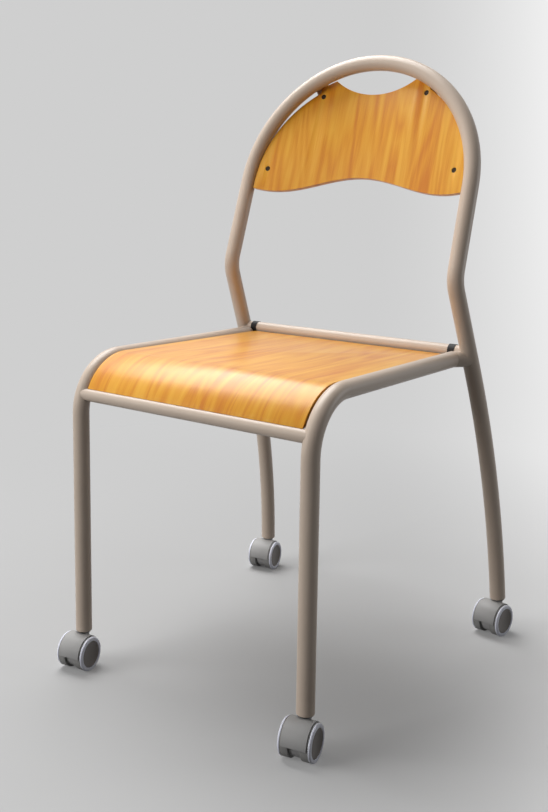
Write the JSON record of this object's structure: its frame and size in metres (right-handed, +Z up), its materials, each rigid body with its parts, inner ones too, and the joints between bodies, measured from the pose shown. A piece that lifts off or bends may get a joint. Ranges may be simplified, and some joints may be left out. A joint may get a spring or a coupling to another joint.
{
  "type": "stacking side chair on castors",
  "caption": "Side chair with a bent round tube frame, an arched back hoop, bent plywood seat and back panel, and swivelling twin wheel castors on its legs.",
  "frame": {"origin": "on the floor, in the chair's middle plane, midway between the front and the rear wheel axles", "axes": "+Z up, the front of the chair faces -Y, +X to the right as seen from in front"},
  "size_m": [0.4916, 0.5665, 0.9005],
  "materials": {
    "frame_paint": "beige grey powder coat, half gloss",
    "plywood": "clear varnish, satin",
    "rubber": "matt",
    "zinc": "bright zinc plate",
    "hood_plastic": "moulded, fine texture",
    "wheel_plastic": "moulded, worn",
    "ring_plastic": "moulded, half gloss",
    "cap_plastic": "moulded, fine texture"
  },
  "bodies": {
    "frame": {"rear_hoop": "frame_paint", "left_side_frame": "frame_paint", "right_side_frame": "frame_paint", "front_cross_tube": "frame_paint", "rear_cross_tube": "frame_paint", "left_buffer": "rubber", "right_buffer": "rubber", "seat_panel": "plywood", "seat_tabs": "frame_paint", "seat_screws": "zinc", "back_panel": "plywood", "back_tabs": "frame_paint", "back_screws": "zinc", "back_nuts": "zinc", "front_left_socket": "cap_plastic", "front_left_stem": "zinc", "front_right_socket": "cap_plastic", "front_right_stem": "zinc", "rear_right_socket": "cap_plastic", "rear_right_stem": "zinc", "rear_left_socket": "cap_plastic", "rear_left_stem": "zinc"},
    "front_left_castor": {"front_left_hood": "hood_plastic", "front_left_axle": "zinc"},
    "front_left_roller_a": {"front_left_wheel_a": "wheel_plastic", "front_left_ring_a": "ring_plastic", "front_left_cap_a": "cap_plastic"},
    "front_left_roller_b": {"front_left_wheel_b": "wheel_plastic", "front_left_ring_b": "ring_plastic", "front_left_cap_b": "cap_plastic"},
    "front_right_castor": {"front_right_hood": "hood_plastic", "front_right_axle": "zinc"},
    "front_right_roller_a": {"front_right_wheel_a": "wheel_plastic", "front_right_ring_a": "ring_plastic", "front_right_cap_a": "cap_plastic"},
    "front_right_roller_b": {"front_right_wheel_b": "wheel_plastic", "front_right_ring_b": "ring_plastic", "front_right_cap_b": "cap_plastic"},
    "rear_right_castor": {"rear_right_hood": "hood_plastic", "rear_right_axle": "zinc"},
    "rear_right_roller_a": {"rear_right_wheel_a": "wheel_plastic", "rear_right_ring_a": "ring_plastic", "rear_right_cap_a": "cap_plastic"},
    "rear_right_roller_b": {"rear_right_wheel_b": "wheel_plastic", "rear_right_ring_b": "ring_plastic", "rear_right_cap_b": "cap_plastic"},
    "rear_left_castor": {"rear_left_hood": "hood_plastic", "rear_left_axle": "zinc"},
    "rear_left_roller_a": {"rear_left_wheel_a": "wheel_plastic", "rear_left_ring_a": "ring_plastic", "rear_left_cap_a": "cap_plastic"},
    "rear_left_roller_b": {"rear_left_wheel_b": "wheel_plastic", "rear_left_ring_b": "ring_plastic", "rear_left_cap_b": "cap_plastic"}
  },
  "joints": [
    {"name": "front_left_swivel", "type": "hinge", "parent": "frame", "child": "front_left_castor", "pos_m": [-0.195, -0.24124, 0.0535], "axis": [0, 0, 1], "continuous": true},
    {"name": "front_left_roll_a", "type": "hinge", "parent": "front_left_castor", "child": "front_left_roller_a", "pos_m": [-0.19308, -0.25409, 0.025], "axis": [0.989, 0.1478, 0], "continuous": true},
    {"name": "front_left_roll_b", "type": "hinge", "parent": "front_left_castor", "child": "front_left_roller_b", "pos_m": [-0.19308, -0.25409, 0.025], "axis": [0.989, 0.1478, 0], "continuous": true},
    {"name": "front_right_swivel", "type": "hinge", "parent": "frame", "child": "front_right_castor", "pos_m": [0.195, -0.24124, 0.0535], "axis": [0, 0, 1], "continuous": true},
    {"name": "front_right_roll_a", "type": "hinge", "parent": "front_right_castor", "child": "front_right_roller_a", "pos_m": [0.19748, -0.254, 0.025], "axis": [0.9816, 0.1908, 0], "continuous": true},
    {"name": "front_right_roll_b", "type": "hinge", "parent": "front_right_castor", "child": "front_right_roller_b", "pos_m": [0.19748, -0.254, 0.025], "axis": [0.9816, 0.1908, 0], "continuous": true},
    {"name": "rear_right_swivel", "type": "hinge", "parent": "frame", "child": "rear_right_castor", "pos_m": [0.22219, 0.26724, 0.0535], "axis": [0, 0, 1], "continuous": true},
    {"name": "rear_right_roll_a", "type": "hinge", "parent": "rear_right_castor", "child": "rear_right_roller_a", "pos_m": [0.22072, 0.25432, 0.025], "axis": [0.9936, -0.1132, 0], "continuous": true},
    {"name": "rear_right_roll_b", "type": "hinge", "parent": "rear_right_castor", "child": "rear_right_roller_b", "pos_m": [0.22072, 0.25432, 0.025], "axis": [0.9936, -0.1132, 0], "continuous": true},
    {"name": "rear_left_swivel", "type": "hinge", "parent": "frame", "child": "rear_left_castor", "pos_m": [-0.22219, 0.26724, 0.0535], "axis": [0, 0, 1], "continuous": true},
    {"name": "rear_left_roll_a", "type": "hinge", "parent": "rear_left_castor", "child": "rear_left_roller_a", "pos_m": [-0.21982, 0.25445, 0.025], "axis": [0.9833, 0.1822, 0], "continuous": true},
    {"name": "rear_left_roll_b", "type": "hinge", "parent": "rear_left_castor", "child": "rear_left_roller_b", "pos_m": [-0.21982, 0.25445, 0.025], "axis": [0.9833, 0.1822, 0], "continuous": true}
  ]
}
